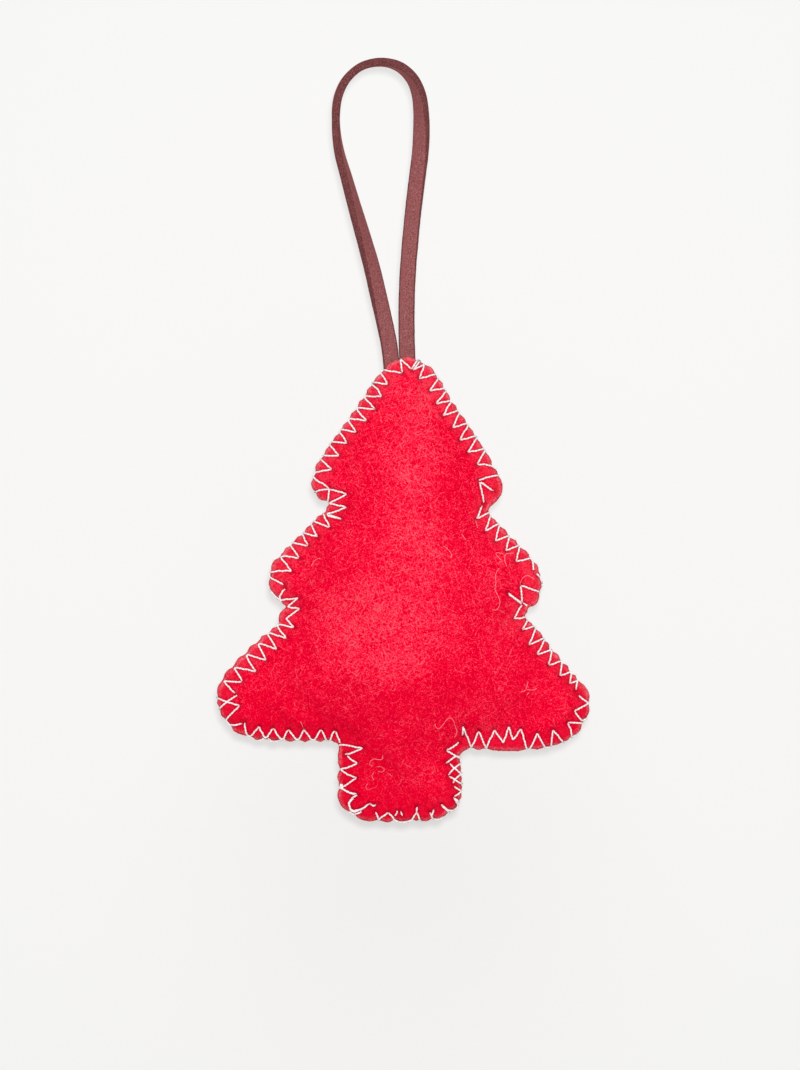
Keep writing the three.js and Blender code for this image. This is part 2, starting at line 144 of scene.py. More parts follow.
class Maker:
    def __init__(self, tree):
        self.tree = tree

    def node(self, kind, settings=None, **sockets):
        made = self.tree.nodes.new(kind)
        for name, value in (settings or {}).items():
            setattr(made, name, value)
        self.fill(made, sockets)
        return made

    def fill(self, made, sockets):  # sockets by name, spaces as underscores
        for name, value in sockets.items():
            self.feed(made.inputs[name.replace("_", " ")], value)

    def feed(self, socket, value):  # from a wire, a node's first output, another socket or a plain value
        if isinstance(value, Wire):
            value = value.socket
        elif isinstance(value, bpy.types.Node):
            value = value.outputs[0]
        if isinstance(value, bpy.types.NodeSocket):
            self.tree.links.new(value, socket)
        else:
            socket.default_value = value

    def feedByNumber(self, made, values):
        for i, value in values.items():
            self.feed(made.inputs[i], value)
        return made

    def wire(self, made, name=0):
        return Wire(self, made.outputs[name])

    def math(self, operation, *values):
        made = self.node("ShaderNodeMath", {"operation": operation})
        return self.wire(self.feedByNumber(made, dict(enumerate(values))))

    def fade(self, value, low, high):  # 0 below low and 1 above high
        return self.wire(self.node("ShaderNodeMapRange", {"interpolation_type": "SMOOTHSTEP"}, Value=value,
                                   From_Min=low, From_Max=high))

    def mix(self, share, first, second):
        made = self.node("ShaderNodeMix", {"data_type": "RGBA"})
        return self.wire(self.feedByNumber(made, {0: share, 6: first, 7: second}), 2)

    def place(self):
        return self.wire(self.node("ShaderNodeTexCoord"), "Object")

    def parts(self, place):  # a place's three coordinates
        split = self.node("ShaderNodeSeparateXYZ", Vector=place)
        return [self.wire(split, axis) for axis in "XYZ"]

    def vector(self, x=0.0, y=0.0, z=0.0):
        return self.wire(self.node("ShaderNodeCombineXYZ", X=x, Y=y, Z=z))

    def shade(self, name):  # one of the mesh's own values
        return self.wire(self.node("ShaderNodeAttribute", {"attribute_name": name}), "Fac")

    def speckle(self, place, size, detail=2.0, rough=0.5, warp=0.0):  # noise with blots of a size in mm
        return self.wire(self.node("ShaderNodeTexNoise", Vector=place, Scale=1 / (size * mm), Detail=detail,
                                   Roughness=rough, Distortion=warp), "Fac")

    def stretched(self, place, turn, sizes):  # streaks: noise on a place that is turned and drawn out
        mapping = self.node("ShaderNodeMapping", {"vector_type": "TEXTURE"}, Vector=place, Rotation=turn,
                            Scale=[size * mm for size in sizes])
        return self.wire(self.node("ShaderNodeTexNoise", Vector=mapping, Scale=1.0, Detail=1.0,
                                   Roughness=0.5, Distortion=0.6), "Fac")

    def random(self, low, high, seed):  # one number for each copy
        made = self.node("FunctionNodeRandomValue", {"data_type": "FLOAT"}, Seed=seed)
        return self.wire(self.feedByNumber(made, {2: low, 3: high}), 1)

    def relief(self, height, strength, deep):  # the shader's bump, so many millimetres deep
        self.finish(Normal=self.node("ShaderNodeBump", Strength=strength, Distance=deep * mm, Height=height))

    def finish(self, **sockets):
        self.fill(next(n for n in self.tree.nodes if n.type == "BSDF_PRINCIPLED"), sockets)


def rgb(red, green, blue):  # a colour as a picture shows it, 0 to 255, to a shader's linear one
    def linear(value):
        value /= 255
        return value / 12.92 if value <= 0.04045 else ((value + 0.055) / 1.055) ** 2.4
    return (linear(red), linear(green), linear(blue), 1)


def newMaterial(name):
    material = bpy.data.materials.new(name)
    material.use_nodes = True
    return material, Maker(material.node_tree)


# The felt's colours, the sizes of its mottle, and where its painted light and shade lie: painted highlight on
# the crown, painted light on the higher parts, painted shade on the low parts and along the seam, painted shadow
# by the thread, and a pale edge that is partly painted light.
# Lengths are in millimetres.
felt = {
    "deep": rgb(215, 0, 39),
    "body": rgb(252, 9, 62),
    "light": rgb(221, 89, 101),
    # painted shadow beside the thread and round the needle holes
    "paintedThreadShadow": rgb(120, 0, 30),
    # painted shade of the stitched strip along the seam, lighter high up as painted light from above
    "bandShadeHigh": rgb(234, 58, 80),
    "bandShadeLow": rgb(218, 20, 52),
    # the pale edge: the paler cut edge and its fuzz, partly painted light on the edge
    "rim": rgb(255, 130, 140),
    "tuft": 0.29,
    "grain": 0.19,
    "cloud": 7.0,
    "strand": (1.7, 1.0, 0.2),
    "strandTurns": (0.5, -0.35, 1.25, -1.1),
    # the crown's share is painted highlight, the higher parts' share painted light from above
    "shares": {"tuft": 0.36, "strand": 0.64, "grain": 0.36, "cloud": 0.1, "crown": 0.053, "upperLight": 0.027},
    "pitEvery": 0.8,
    "pitSize": (0.14, 0.4),
    "pitCount": (0.3, 0.5),
    "pitDepth": 0.05,
    "pitDepthOnCrown": 0.09,
    # where the painted highlight on the crown lies: a crest and a round patch on the lower tier
    "ridgeHighlightX": 6.0,
    "ridgeHighlight": (1.5, 9.5),
    "ridgeHighlightEnd": (-104, -95),
    "ridgeHighlightShare": 0.85,
    "bellyHighlight": (-0.2, -106.0),
    "bellyHighlightSize": (5.075, 14.5),
    "bellyHighlightEnd": (-119.5, -114),
    # painted light: the higher parts and the right side lighter
    "upperLightFrom": (-120, -108),
    "rightLightFrom": (2.0, 9.0),
    "rightLightShare": 0.45,
    "lightFrom": (0.665, 0.8),
    "deepUpTo": (0.61, 0.665),
    "deepShare": 0.95,
    # painted shade: the lower left and the bottom of the trunk darker
    "lowLeftShadeX": (-8.0, 9.0),
    "lowLeftShadeZ": (-126.0, -118.0),
    "foot": (-139.0, -132.0),
    "lowShadeShare": 0.45,
    # painted shade of the stitched strip along the seam: how wide, where strong, and where it turns lighter high
    # up
    "bandShadeWide": (1.7, 3.8),
    "bandShadeBright": (0.56, 0.76),
    "bandShadeShare": (0.15, 0.7),
    "bandShadeHighFrom": (-126.0, -100.0),
    # the pale edge, partly painted light: how wide, where strong, and weaker on the side faces
    "rimWide": (0.15, 0.95),
    "rimBright": (0.6, 0.72),
    "rimShare": (0.12, 0.8),
    "sideShare": (0.4, 0.6),
    "sideWide": (0.0, 0.2),
    "relief": (0.7, 0.14),
    "roughness": 0.62,
    "gloss": 0.0,
}


def feltMaterial():
    material, m = newMaterial("red wool felt")
    place, shares = m.place(), felt["shares"]
    tuft = m.speckle(place, felt["tuft"], 2.0, 0.55, 1.2)
    cloud = m.speckle(place, felt["cloud"])
    strands = [m.stretched(place, (0, turn, 0), felt["strand"]) for turn in felt["strandTurns"]]
    strand = strands[0]
    for other in strands[1:]:
        strand = m.math("MAXIMUM", strand, other)
    grain = m.speckle(place, felt["grain"], 1.0) - 0.5
    height = tuft * shares["tuft"] + strand * shares["strand"]

    across, _, up = m.parts(place)
    x, z = across * (1 / mm), up * (1 / mm)
    # painted light: the higher parts and the right side lighter, as the light falls from above and the right
    right = m.fade(x, *felt["rightLightFrom"]) * felt["rightLightShare"]
    upperLight = m.math("MAXIMUM", m.fade(z, *felt["upperLightFrom"]), right)
    # painted highlight on the crown, lighter where the fuzz faces the light: a crest and a round patch on the
    # lower tier
    ridgeHighlight = 1 - m.fade(m.math("ABSOLUTE", x - felt["ridgeHighlightX"]), *felt["ridgeHighlight"])
    ridgeHighlight = ridgeHighlight * m.fade(z, *felt["ridgeHighlightEnd"]) * felt["ridgeHighlightShare"]
    offX, offZ = x - felt["bellyHighlight"][0], z - felt["bellyHighlight"][1]
    bellyHighlight = 1 - m.fade(m.math("SQRT", offX * offX + offZ * offZ), *felt["bellyHighlightSize"])
    crown = m.math("MAXIMUM", ridgeHighlight, bellyHighlight * m.fade(z, *felt["bellyHighlightEnd"]))
    cells = m.node("ShaderNodeTexVoronoi", Vector=place, Scale=1 / (felt["pitEvery"] * mm), Randomness=1.0)
    some = m.fade(m.wire(m.node("ShaderNodeSeparateColor", Color=m.wire(cells, "Color"))), *felt["pitCount"])
    pits = (1 - m.fade(m.wire(cells, "Distance"), *felt["pitSize"])) * some
    # how bright the mottle is, with the painted highlight on the crown and painted light on the higher parts
    # added in
    bright = height + grain * shares["grain"] + cloud * shares["cloud"] + crown * shares["crown"] \
        + upperLight * shares["upperLight"] - pits * (crown * felt["pitDepthOnCrown"] + felt["pitDepth"])

    colour = m.mix(m.fade(bright, *felt["lightFrom"]), felt["body"], felt["light"])
    colour = m.mix((1 - m.fade(bright, *felt["deepUpTo"])) * felt["deepShare"], colour, felt["deep"])
    # painted shade: the lower left and the bottom of the trunk darkened towards deep red, where less light falls
    lowLeftShade = (1 - m.fade(z, *felt["lowLeftShadeZ"])) * (1 - m.fade(x, *felt["lowLeftShadeX"]))
    low = m.math("MAXIMUM", lowLeftShade, 1 - m.fade(z, *felt["foot"]))
    colour = m.mix(low * felt["lowShadeShare"], colour, felt["deep"])

    deepIn = m.shade("deepIn")

    def edging(part):  # a mottled edge: wider or narrower, and stronger where the felt is bright
        least, more = felt[part + "Share"]
        strong = m.fade(bright, *felt[part + "Bright"]) * more + least
        return (1 - m.fade(deepIn, *felt[part + "Wide"])) * strong

    # painted shade in the dents between the stitches along the seam, lighter high up as painted light from above
    bandShade = m.mix(m.fade(z, *felt["bandShadeHighFrom"]), felt["bandShadeLow"], felt["bandShadeHigh"])
    colour = m.mix(edging("bandShade"), colour, bandShade)
    # the pale edge: the paler cut edge and its fuzz, partly painted light that lifts the edge out of its shade
    least, more = felt["sideShare"]
    colour = m.mix(edging("rim") * (m.fade(deepIn, *felt["sideWide"]) * more + least), colour, felt["rim"])
    # painted shadow: the felt darker beside the thread and round the needle holes
    colour = m.mix(m.shade("paintedThreadShadow") * (1.2 - height), colour, felt["paintedThreadShadow"])
    m.relief(height, *felt["relief"])
    m.finish(Base_Color=colour, Roughness=felt["roughness"], Specular_IOR_Level=felt["gloss"])
    return material


def napMaterial(name, dull, bright, rim):  # loose wool in two tones, and at the felt's edge in a third, paler one that is partly painted light
    material, m = newMaterial(name)
    tone = m.mix(m.fade(m.speckle(m.place(), 1.1), 0.38, 0.66), dull, bright)
    m.finish(Base_Color=m.mix(m.fade(m.shade("deepIn"), 0.2, 1.3), rim, tone), Roughness=0.8,
             Specular_IOR_Level=felt["gloss"])
    return material


lace = {
    "width": 3.0,
    "thickness": 1.5,
    "corner": 0.32,
    "feetX": (1.28, 4.65),
    "drop": -51.96,
    "step": 0.45,
    "uneven": 0.02,
    "ragged": 0.05,
    "face": rgb(136, 75, 76),
    "pale": rgb(172, 110, 109),
    "dark": rgb(106, 52, 55),
    "edge": rgb(102, 50, 52),
    "edgePale": rgb(160, 100, 94),
    "edgeDark": rgb(66, 30, 34),
    "sheen": rgb(255, 130, 120),
    "paleFrom": (0.52, 0.66),
    "darkUpTo": (0.36, 0.48),
}

# The lace from its left end in the seam, up round the hook and down to its right end.
laceRoute = [
    (2.0, -62.3), (1.95, -59), (1.72, -55.5), (1.28, -51.96), (0.93, -50.2), (0.375, -47.6),
    (-0.66, -43.1), (-1.69, -38.6), (-2.9, -34.1), (-4.2, -29.6), (-5.5, -25.1), (-6.75, -20.6),
    (-8.0, -16.1), (-8.6, -11.6), (-8.5, -7.1), (-7.8, -4.5), (-6.4, -2.15), (-3.7, 0.0), (0, 0.7),
    (3.2, -0.15), (5.55, -2.3), (6.75, -4.85), (7.25, -7.6), (7.4, -11.6), (7.2, -16.1), (6.65, -20.6),
    (6.1, -25.1), (5.6, -29.6), (5.2, -34.1), (4.85, -38.6), (4.65, -43.1), (4.6, -47.6),
    (4.65, -51.96), (4.78, -55.5), (5.0, -59), (5.1, -62.3),
]

# How far the face turns from the loop's inside to the front, by share of the free lace, in degrees.
laceTurns = [(-1, 90), (0, 86), (0.02, 82), (0.07, 66), (0.15, 49), (0.23, 29), (0.31, 15), (0.345, 5),
             (0.39, -5), (0.43, -9), (0.487, -9), (0.52, -4), (0.55, 10), (0.577, 23), (0.603, 37), (0.63, 47),
             (0.656, 60), (0.71, 77), (0.8, 86), (1, 89), (2, 90)]


def lengthAlong(points):  # how far along the line each point lies
    return np.concatenate([[0], np.cumsum(np.linalg.norm(np.diff(points, axis=0), axis=1))])


def evenLine(points, step):  # points at an even step along straight lines
    points = np.array(points, float)
    along = lengthAlong(points)
    places = np.linspace(0, along[-1], max(2, round(along[-1] / step) + 1))
    return np.stack([np.interp(places, along, column) for column in points.T], axis=1)


def smoothLine(points, step, closed=False):  # an even line that bends through the points
    points = np.array(points, float)
    if closed:
        knots = np.concatenate([points[-1:], points, points[:2]])
    else:
        knots = np.concatenate([[2 * points[0] - points[1]], points, [2 * points[-1] - points[-2]]])
    line = []
    for a, b, c, d in zip(knots, knots[1:], knots[2:], knots[3:]):
        gaps = [max(np.linalg.norm(q - p), 1e-6) ** 0.5 for p, q in ((a, b), (b, c), (c, d))]
        into = ((b - a) / gaps[0] - (c - a) / (gaps[0] + gaps[1]) + (c - b) / gaps[1]) * gaps[1]
        out = ((c - b) / gaps[1] - (d - b) / (gaps[1] + gaps[2]) + (d - c) / gaps[2]) * gaps[1]
        for t in np.linspace(0, 1, 24, endpoint=False):
            line.append(b * (2 * t**3 - 3 * t**2 + 1) + into * (t**3 - 2 * t**2 + t)
                        + c * (3 * t**2 - 2 * t**3) + out * (t**3 - t**2))
    line.append(points[0] if closed else points[-1])
    even = evenLine(line, step)
    return even[:-1] if closed else even


def roundedStrip():  # the lace's section: across its width and through its thickness
    corner = lace["corner"]
    wide, thick = lace["width"] / 2 - corner, lace["thickness"] / 2 - corner
    points = []
    for turn, (x, y) in enumerate([(wide, thick), (-wide, thick), (-wide, -thick), (wide, -thick)]):
        for angle in [(turn + k / 3) * math.pi / 2 for k in range(4)]:
            points.append((x + corner * math.cos(angle), y + corner * math.sin(angle)))
        if turn % 2 == 0:
            points += [((1 - 2 * share) * x, y + math.copysign(corner, y)) for share in (0.25, 0.5, 0.75)]
    return points


def laceStrip():
    route = smoothLine(laceRoute, lace["step"])
    along = lengthAlong(route)
    feet = [along[np.argmin(np.hypot(route[:, 0] - x, route[:, 1] - lace["drop"]))] for x in lace["feetX"]]
    turn = np.radians(np.interp((along - feet[0]) / (feet[1] - feet[0]), *zip(*laceTurns)))
    tangent = np.gradient(route, axis=0)
    tangent /= np.linalg.norm(tangent, axis=1)[:, None]
    section = roundedStrip()
    points, edging = [], []
    for i, (x, z) in enumerate(route):
        t = Vector((tangent[i][0], 0, tangent[i][1]))
        facing = Vector((t.z, 0, -t.x)) * math.cos(turn[i]) + Vector((0, -1, 0)) * math.sin(turn[i])
        wide = facing.cross(t).normalized()
        narrow = 1 + lace["uneven"] * noise.noise(Vector((along[i] * 0.35, 3.1, 0)))
        for a, b in section:
            place = Vector((x, 0, z)) + wide * a * narrow + facing * b
            ragged = lace["ragged"] * noise.noise(place * 1.9) * (abs(a) > lace["width"] * 0.4)
            points.append(place + wide * math.copysign(ragged, a))
            edging.append(float(abs(a) > lace["width"] / 2 - lace["corner"] * 0.75))
    count = len(section)
    last = len(points) - count
    sides = [(k, (k + 1) % count) for k in range(count)]
    faces = [(i + a, i + a + count, i + b + count, i + b) for i in range(0, last, count) for a, b in sides]
    faces += [range(count), range(last + count - 1, last - 1, -1)]
    strip = meshObject("SuedeLace", points, faces)
    addShade(strip, "edging", edging)
    facesOut(strip)
    path = [(x * mm, 0, z * mm) for x, z in [*route[::6], route[-1]]]
    print("lace", round(along[-1], 1), "mm long,", len(strip.data.polygons), "faces")
    return strip, path, along[-1] * mm


def suedeMaterial():
    material, m = newMaterial("oxblood suede")
    place = m.place()
    height = m.speckle(place, 0.14, 1.0, 0.5, 0.2) * 0.92 + m.speckle(place, 0.9) * 0.08
    pale = m.fade(height, *lace["paleFrom"])
    dark = 1 - m.fade(height, *lace["darkUpTo"])
    face = m.mix(dark * 0.8, m.mix(pale * 0.85, lace["face"], lace["pale"]), lace["dark"])
    cut = m.mix(dark * 0.9, m.mix(pale * 0.7, lace["edge"], lace["edgePale"]), lace["edgeDark"])
    m.relief(height, 0.5, 0.08)
    m.finish(Base_Color=m.mix(m.fade(m.shade("edging"), 0.2, 0.7), face, cut), Roughness=0.85,
             Specular_IOR_Level=0.2, Sheen_Weight=0.14, Sheen_Roughness=0.5, Sheen_Tint=lace["sheen"])
    return material


laceObject, lacePath, laceLength = laceStrip()
laceObject.data.materials.append(suedeMaterial())

# The cut edge of the felt, clockwise from its top, as it shows between the stitches: photo pixels.
treeEdge = [
    (407, 358.3), (418, 361.5), (430, 368), (438, 377), (444, 388), (451, 399), (458, 410.5), (466, 422.5),
    (474, 435), (482, 447.5), (490, 460), (497, 472), (501, 484), (500.5, 493), (495, 501), (488.5, 508),
    (489.5, 514), (497, 523), (507, 533), (517, 543), (527, 553), (535.5, 564), (541, 576), (540.5, 589),
    (536, 602), (528, 609.5), (525, 616), (531, 623.5), (541, 635), (552, 648.5), (562, 660.5), (572, 672.5),
    (581, 682.5), (587.5, 693), (589, 705), (586, 718), (579, 730), (568, 739), (554, 744.5), (535, 748.5),
    (505, 750), (478, 748.7), (463.5, 750), (459.8, 757), (461, 775), (461.5, 792), (457.5, 805), (447, 814),
    (430, 819.8), (405, 821.3), (380, 821), (361, 818.3), (346.5, 811), (339.5, 799), (338, 782), (339, 762),
    (338.8, 748), (334, 742), (315, 741.2), (285, 741.2), (262, 739.8), (244, 735.5), (229, 725), (220, 710),
    (217.8, 695), (221, 681), (231, 667.5), (243, 655), (254, 644), (266, 633.5), (277, 624), (281, 614),
    (285, 606.5), (277.5, 600), (271, 590), (270, 577), (274, 563), (283, 552), (294, 541.5), (305, 530.5),
    (316, 519.5), (325, 510.5), (328.5, 503.5), (320, 498), (313.5, 490), (312.3, 480), (316, 467.5),
    (324, 454.5), (333, 441.5), (342, 428), (351, 415), (360, 402), (369, 389), (378, 377), (387, 367.5),
    (397, 361),
]

# The needle thread on the front, in the order that it was sewn, as it shows in the photo: pixels.
firstPassLines = {
    "leftSlope": [
        (417.5, 360.5), (411.5, 370), (400.5, 360), (402.4, 374), (384, 370.8), (381, 373.5), (387.8, 385.3),
        (373, 382.5), (372.5, 385), (378, 389.5), (381.5, 397.3), (366, 396.3), (365, 398.5), (375.5, 409.5),
        (358, 408), (357.5, 411), (366.8, 421.3), (350, 418.8), (349, 421.5), (356.3, 432.5), (341.5, 429.8),
        (340, 432.5), (347.2, 443.6), (331.5, 442.3), (330, 445), (339.4, 456), (323.5, 456), (321, 459.5),
        (331.8, 469.5), (316, 472.5), (313.8, 477), (318, 481.5), (324, 484), (329.5, 489), (328.2, 501)],
    "upperNotchLeft": [
        (315.6, 491.8), (323, 489.5), (329.5, 489.3), (341, 491.8), (347.2, 494.5), (335, 500.5), (329, 503.5),
        (334, 504.5), (347, 507.3), (337, 511.5), (327.5, 513.5), (328.5, 516.5), (341.5, 518.8)],
    "upperNotchLeftEnd": [(329, 514.8), (335, 516.5), (341, 519.4)],
    "middleLeft": [
        (323.5, 514), (330, 527.6), (314, 521.5), (311.5, 524.5), (317.8, 536.8), (304, 533), (303, 535),
        (308.5, 546), (292.5, 543), (291, 545.5), (299.8, 558.5), (286, 555.8), (281, 557.5), (292.3, 571.3),
        (281, 570.5), (270.8, 572.5), (270.3, 577), (284.5, 584.8)],
    "middleLeftCorner": [(285.3, 588.5), (280, 595.5), (281, 600)],
    "lowerNotchLeft": [
        (271, 590), (276, 596), (281.5, 600), (290, 598.6), (298.5, 597.8), (288.5, 606), (289, 606.8),
        (300, 608.4), (286.3, 618.5), (294.8, 627.2), (279, 624.4), (278, 627), (287, 638), (270, 633),
        (268, 634.5), (277.3, 649), (261, 643.3), (258.5, 645), (266.8, 660), (248.2, 654.2), (247, 656.5),
        (256.3, 671), (237, 667.2), (235, 668.5), (243, 681.4), (225, 680.6), (225, 682), (236, 693.3)],
    "lowerTipLeft": [(237.5, 695), (228, 700.8), (219.8, 708.5)],
    "lowerTipLeftCross": [
        (218, 697.5), (227.5, 701.5), (240.5, 705), (233, 712), (226.5, 719.5), (230.5, 724.4), (237, 724.4),
        (243.5, 722.6)],
    "bottomLeft": [
        (244.8, 722), (246, 731), (248.2, 735), (251.2, 735.6), (259.5, 726.2), (264, 735.6), (266, 737.2),
        (268.2, 735.6), (273.4, 727.6), (280.6, 738), (283.8, 738.2), (288.8, 728.6), (295.8, 738.4),
        (299, 738.8), (304, 728.8), (311.2, 738.8), (314.8, 739.2), (319.8, 730), (321.8, 729.8), (326, 738.8),
        (328, 740.2), (330.4, 739.6), (334, 730.6), (335.8, 730.4), (340.2, 741.5)],
    "bottomLeftCross": [(259.5, 740.4), (263.4, 737.8)],
    "bottomLeftUnder": [(268.6, 737.6), (272, 740.4), (277.4, 740.2), (281, 738.6)],
    "bottomLeftUnderEnd": [(284.4, 738.6), (287, 741)],
    "trunkLeft": [
        (340.2, 744.3), (352, 745.2), (363.3, 747), (351, 752.6), (345, 753.6)],
    "trunkLeftMiddle": [
        (347, 755), (350.5, 758.5), (358, 762.6), (348, 766.8), (340.5, 768.8), (348, 774), (356.8, 776.8),
        (347.5, 783.5), (341.2, 787.5)],
    "rightSlope": [
        (419.8, 361.5), (413, 371), (424.3, 364.8), (419, 379.3), (435.5, 374.8), (437.8, 379), (429.5, 391.4),
        (443.5, 388.9), (446, 391.5), (435.6, 404.2), (450, 401), (451, 402.5), (442.5, 416.3), (458, 410.8),
        (459, 413.5), (452, 428.4), (466.5, 423.8), (467.8, 425.8), (459.5, 440.6), (475.3, 436.5),
        (476.3, 438.3), (467.5, 452.6), (484, 449.2), (484.5, 451), (476.6, 465), (484.5, 464.4), (491, 466.2),
        (496.8, 470.6), (498.2, 475.6), (488, 477.2), (478.6, 480.3), (484, 503.3)],
    "upperTipRightEnd": [(478.8, 481.5), (485, 485.8), (493, 491)],
    "upperTipRightDouble": [(480.5, 482), (487, 487.4), (492.5, 491.2)],
    "middleRight": [
        (482.3, 505.5), (476.2, 519.3), (488.7, 512.6), (490, 516.5), (485, 531.2), (498, 523.8), (498.8, 526),
        (495, 541.2), (508.5, 535.6), (508.8, 537.8), (505.5, 550.6), (518.4, 545.6), (518.9, 547.8),
        (515.6, 561.6), (529.7, 558.3), (532, 561), (533, 570)],
    "middleTipRight": [(536, 573.5), (539.5, 577.5), (541.3, 583)],
    "lowerNotchRight": [(538.9, 591.8), (520, 585), (521.5, 602), (526.5, 605)],
    "lowerNotchRightEnd": [(507.2, 592.3), (514, 597.5), (522, 603)],
    "lowerNotchRightDouble": [(507.8, 593.6), (515, 599.2), (522, 604.4)],
    "lowerRight": [
        (523, 604), (519.5, 607.5), (513.6, 618.6), (525, 617.3), (527, 620.6), (521.5, 629.6), (533.7, 626.2),
        (535, 629), (528.5, 644.6), (543.3, 638), (543.8, 640), (536.5, 654.6), (548.8, 650.2), (551.5, 651.5),
        (548, 665.2), (560.5, 660.8), (561.3, 663), (559.6, 675.6), (569.5, 672), (570.8, 673.6), (569, 683.2),
        (577, 680.4), (576.5, 683), (575, 690)],
    "lowerTipRight": [(578, 695.3), (587.8, 703), (574, 710.4), (581, 720.3), (586.5, 717.5)],
    "lowerTipRightFoot": [(580.5, 722.6), (567.3, 722), (570.3, 729), (571, 736.5)],
    "bottomRight": [
        (563, 741.8), (552.3, 729), (550.5, 745.8), (544.8, 746.8), (536.8, 732.4), (529.5, 748), (526.5, 748.8),
        (520.8, 728), (512.5, 739.5), (508.5, 725.8), (503, 742.5), (494, 729), (486, 747.8), (478.3, 730.3),
        (471.3, 747), (462.7, 725), (462.2, 735.5)],
    "bottomRightSpur": [(549, 645), (549.5, 651)],
}

# The closing pass round the foot of the trunk, where the two passes cross: photo pixels.
closingLines = {
    "rightTop": [(459, 742), (446.3, 749.8), (455.5, 755), (460, 760)],
    "rightFirst": [(445.8, 762.2), (455.5, 755.6), (459.8, 756.5)],
    "rightSecond": [(449.3, 763.3), (454, 767), (460.3, 773.8)],
    "rightThird": [(460.3, 762.6), (454, 767.3), (448.6, 774.6)],
    "rightFourth": [(449, 775.6), (454.5, 778.8), (461, 783.8)],
    "rightFifth": [(460.5, 773), (454.8, 778.6), (453, 782.2)],
    "rightSixth": [(454, 786.3), (461, 790.3), (454.2, 796.2)],
    "rightCorner": [(453.7, 797), (456.2, 802), (456.6, 805.5)],
    "rightFoot": [(454.3, 797.2), (459.2, 802), (457.8, 806.3), (453, 809.3), (447.5, 809), (441, 803.6)],
    "footDouble": [(441.6, 805), (446, 809), (449.8, 812.6)],
    "footRight": [(434, 809.3), (431.2, 815.3)],
    "footWave": [(429.5, 811.5), (432.5, 817), (437, 819.8), (442, 817.8)],
    "footSpike": [(417, 812.4), (419, 817.5), (422.6, 821.8)],
    "footLong": [
        (378.8, 818.3), (388.2, 812.2), (393.6, 818), (400, 820.8), (407, 820.2), (412.6, 818), (416.4, 813.4),
        (416.8, 806.3)],
    "footShort": [(394.5, 815.7), (397.6, 810.3)],
    "footTick": [(401, 811), (402, 815.2)],
    "footLeft": [(375, 811.3), (377.6, 816), (379.8, 820.8)],
    "leftLoop": [
        (376.5, 804), (373.5, 805.4), (370, 802.7), (361, 807.6), (354, 810), (350.3, 807.8), (348.4, 802.5),
        (352, 797), (358, 793.8)],
    "leftLoopDouble": [
        (369, 803.6), (361, 808.8), (354.5, 810.9), (350.5, 809), (349.3, 803), (353.5, 797.5)],
    "leftEnd": [(350, 810.5), (354.5, 813.3), (361.5, 811.6), (361, 810)],
    "leftUpper": [(341.5, 783), (340.5, 787.8), (349, 791), (357, 793.2)],
    "leftUpperDouble": [(342.8, 783.4), (342, 787.6), (350, 792.4), (356.5, 793.6)],
}

edge = smoothLine(fromPhoto(treeEdge), 0.25, closed=True)
edgeTangent = np.roll(edge, -1, axis=0) - np.roll(edge, 1, axis=0)
edgeTangent /= np.linalg.norm(edgeTangent, axis=1)[:, None]
edgeNormal = np.stack([-edgeTangent[:, 1], edgeTangent[:, 0]], axis=1)  # outwards, the edge runs clockwise


def inParts(points):  # slices of the points that are small enough to measure at once
    return [slice(i, i + 4000) for i in range(0, len(points), 4000)]


def insideDepth(points):  # how deep each point lies inside the edge, and its nearest edge point
    points = np.asarray(points, float)
    depth, nearest = np.empty(len(points)), np.empty(len(points), int)
    for part in inParts(points):
        gap = points[part, None] - edge[None]
        far = (gap**2).sum(2)
        near = far.argmin(1)
        rows = np.arange(len(near))
        inside = (gap[rows, near] * edgeNormal[near]).sum(1) < 0
        depth[part] = np.sqrt(far[rows, near]) * np.where(inside, 1, -1)
        nearest[part] = near
    return depth, nearest


def distanceToLines(points, lines):  # from each point to the nearest of the flat lines
    start = np.concatenate([line[:-1] for line in lines])
    run = np.concatenate([line[1:] for line in lines]) - start
    best = np.empty(len(points))
    for part in inParts(points):
        gap = points[part, None] - start[None]
        share = np.clip((gap * run).sum(2) / np.maximum((run**2).sum(1), 1e-9), 0, 1)
        best[part] = np.sqrt(((gap - share[..., None] * run)**2).sum(2)).min(1)
    return best


def gapsTo(points, spots):  # from each point to each of the spots
    return np.sqrt(((points[:, None] - spots[None])**2).sum(2))


def hill(far, wide):  # 1 in the middle, falling off smoothly on both sides
    return np.exp(-(far / wide)**2)


panel = {
    "seamGap": 0.05,
    "thickness": 1.5,
    "thinnest": 0.12,
    "edgeRound": 1.15,
    "rim": 3.3,
    "crown": 6.6,
    "cell": 0.38,
    "cellsFrom": 0.85,
    "coarse": 1.7,
    "innerCell": 2.4,
    "edgeRings": (0.1, 0.28, 0.55),
    "scallop": 0.18,
    "scallopWide": 0.8,
    "scallopDeep": 1.6,
    "bulge": 0.24,
    "ragged": 0.07,
    "groove": 0.34,
    "grooveWide": 0.34,
    "hole": 0.45,
    "holeWide": 0.36,
    "lump": 0.1,
    "lumpSizes": (7, 1.6),
    "wave": 0.22,
    "waveSize": 3.1,
    "waveWide": 3.2,
    "evenRounds": 34,
    "evenShare": 1.1,
}


def hexGrid(cell, least):  # points of an even grid that lie at least so deep inside the edge
    low, high = edge.min(0) - cell, edge.max(0) + cell
    rows = np.arange(low[1], high[1], cell * math.sqrt(3) / 2)
    points = np.array([(x + (i % 2) * cell / 2, z) for i, z in enumerate(rows)
                       for x in np.arange(low[0], high[0], cell)])
    return points[insideDepth(points)[0] > least]


def edgeRing(inset, every, share):  # points along the edge, drawn in, but for those that crowd at its corners
    ring = (edge - edgeNormal * inset)[::every]
    return ring[insideDepth(ring)[0] > inset * share]


